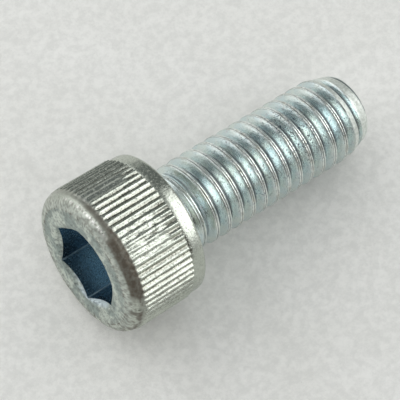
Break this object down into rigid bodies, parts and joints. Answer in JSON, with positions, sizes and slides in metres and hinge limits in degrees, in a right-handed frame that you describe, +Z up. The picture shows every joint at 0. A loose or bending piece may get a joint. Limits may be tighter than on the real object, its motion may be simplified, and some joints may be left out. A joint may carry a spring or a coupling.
{
  "type": "hex socket cap screw",
  "caption": "Cylindrical knurled-head machine screw with a hexagon socket, fully threaded shank and bright zinc plating.",
  "frame": {"origin": "middle of the bounding box, on the surface that the screw lies on", "axes": "+X from the head towards the tip, +Z up; the screw's own axis leans down by about 7.7 degrees towards the tip"},
  "size_m": [0.0224, 0.01, 0.0104],
  "materials": {
    "zinc_plate": "bright zinc plate, worn at the edges"
  },
  "bodies": {
    "root": {"screw": "zinc_plate"}
  },
  "joints": []
}
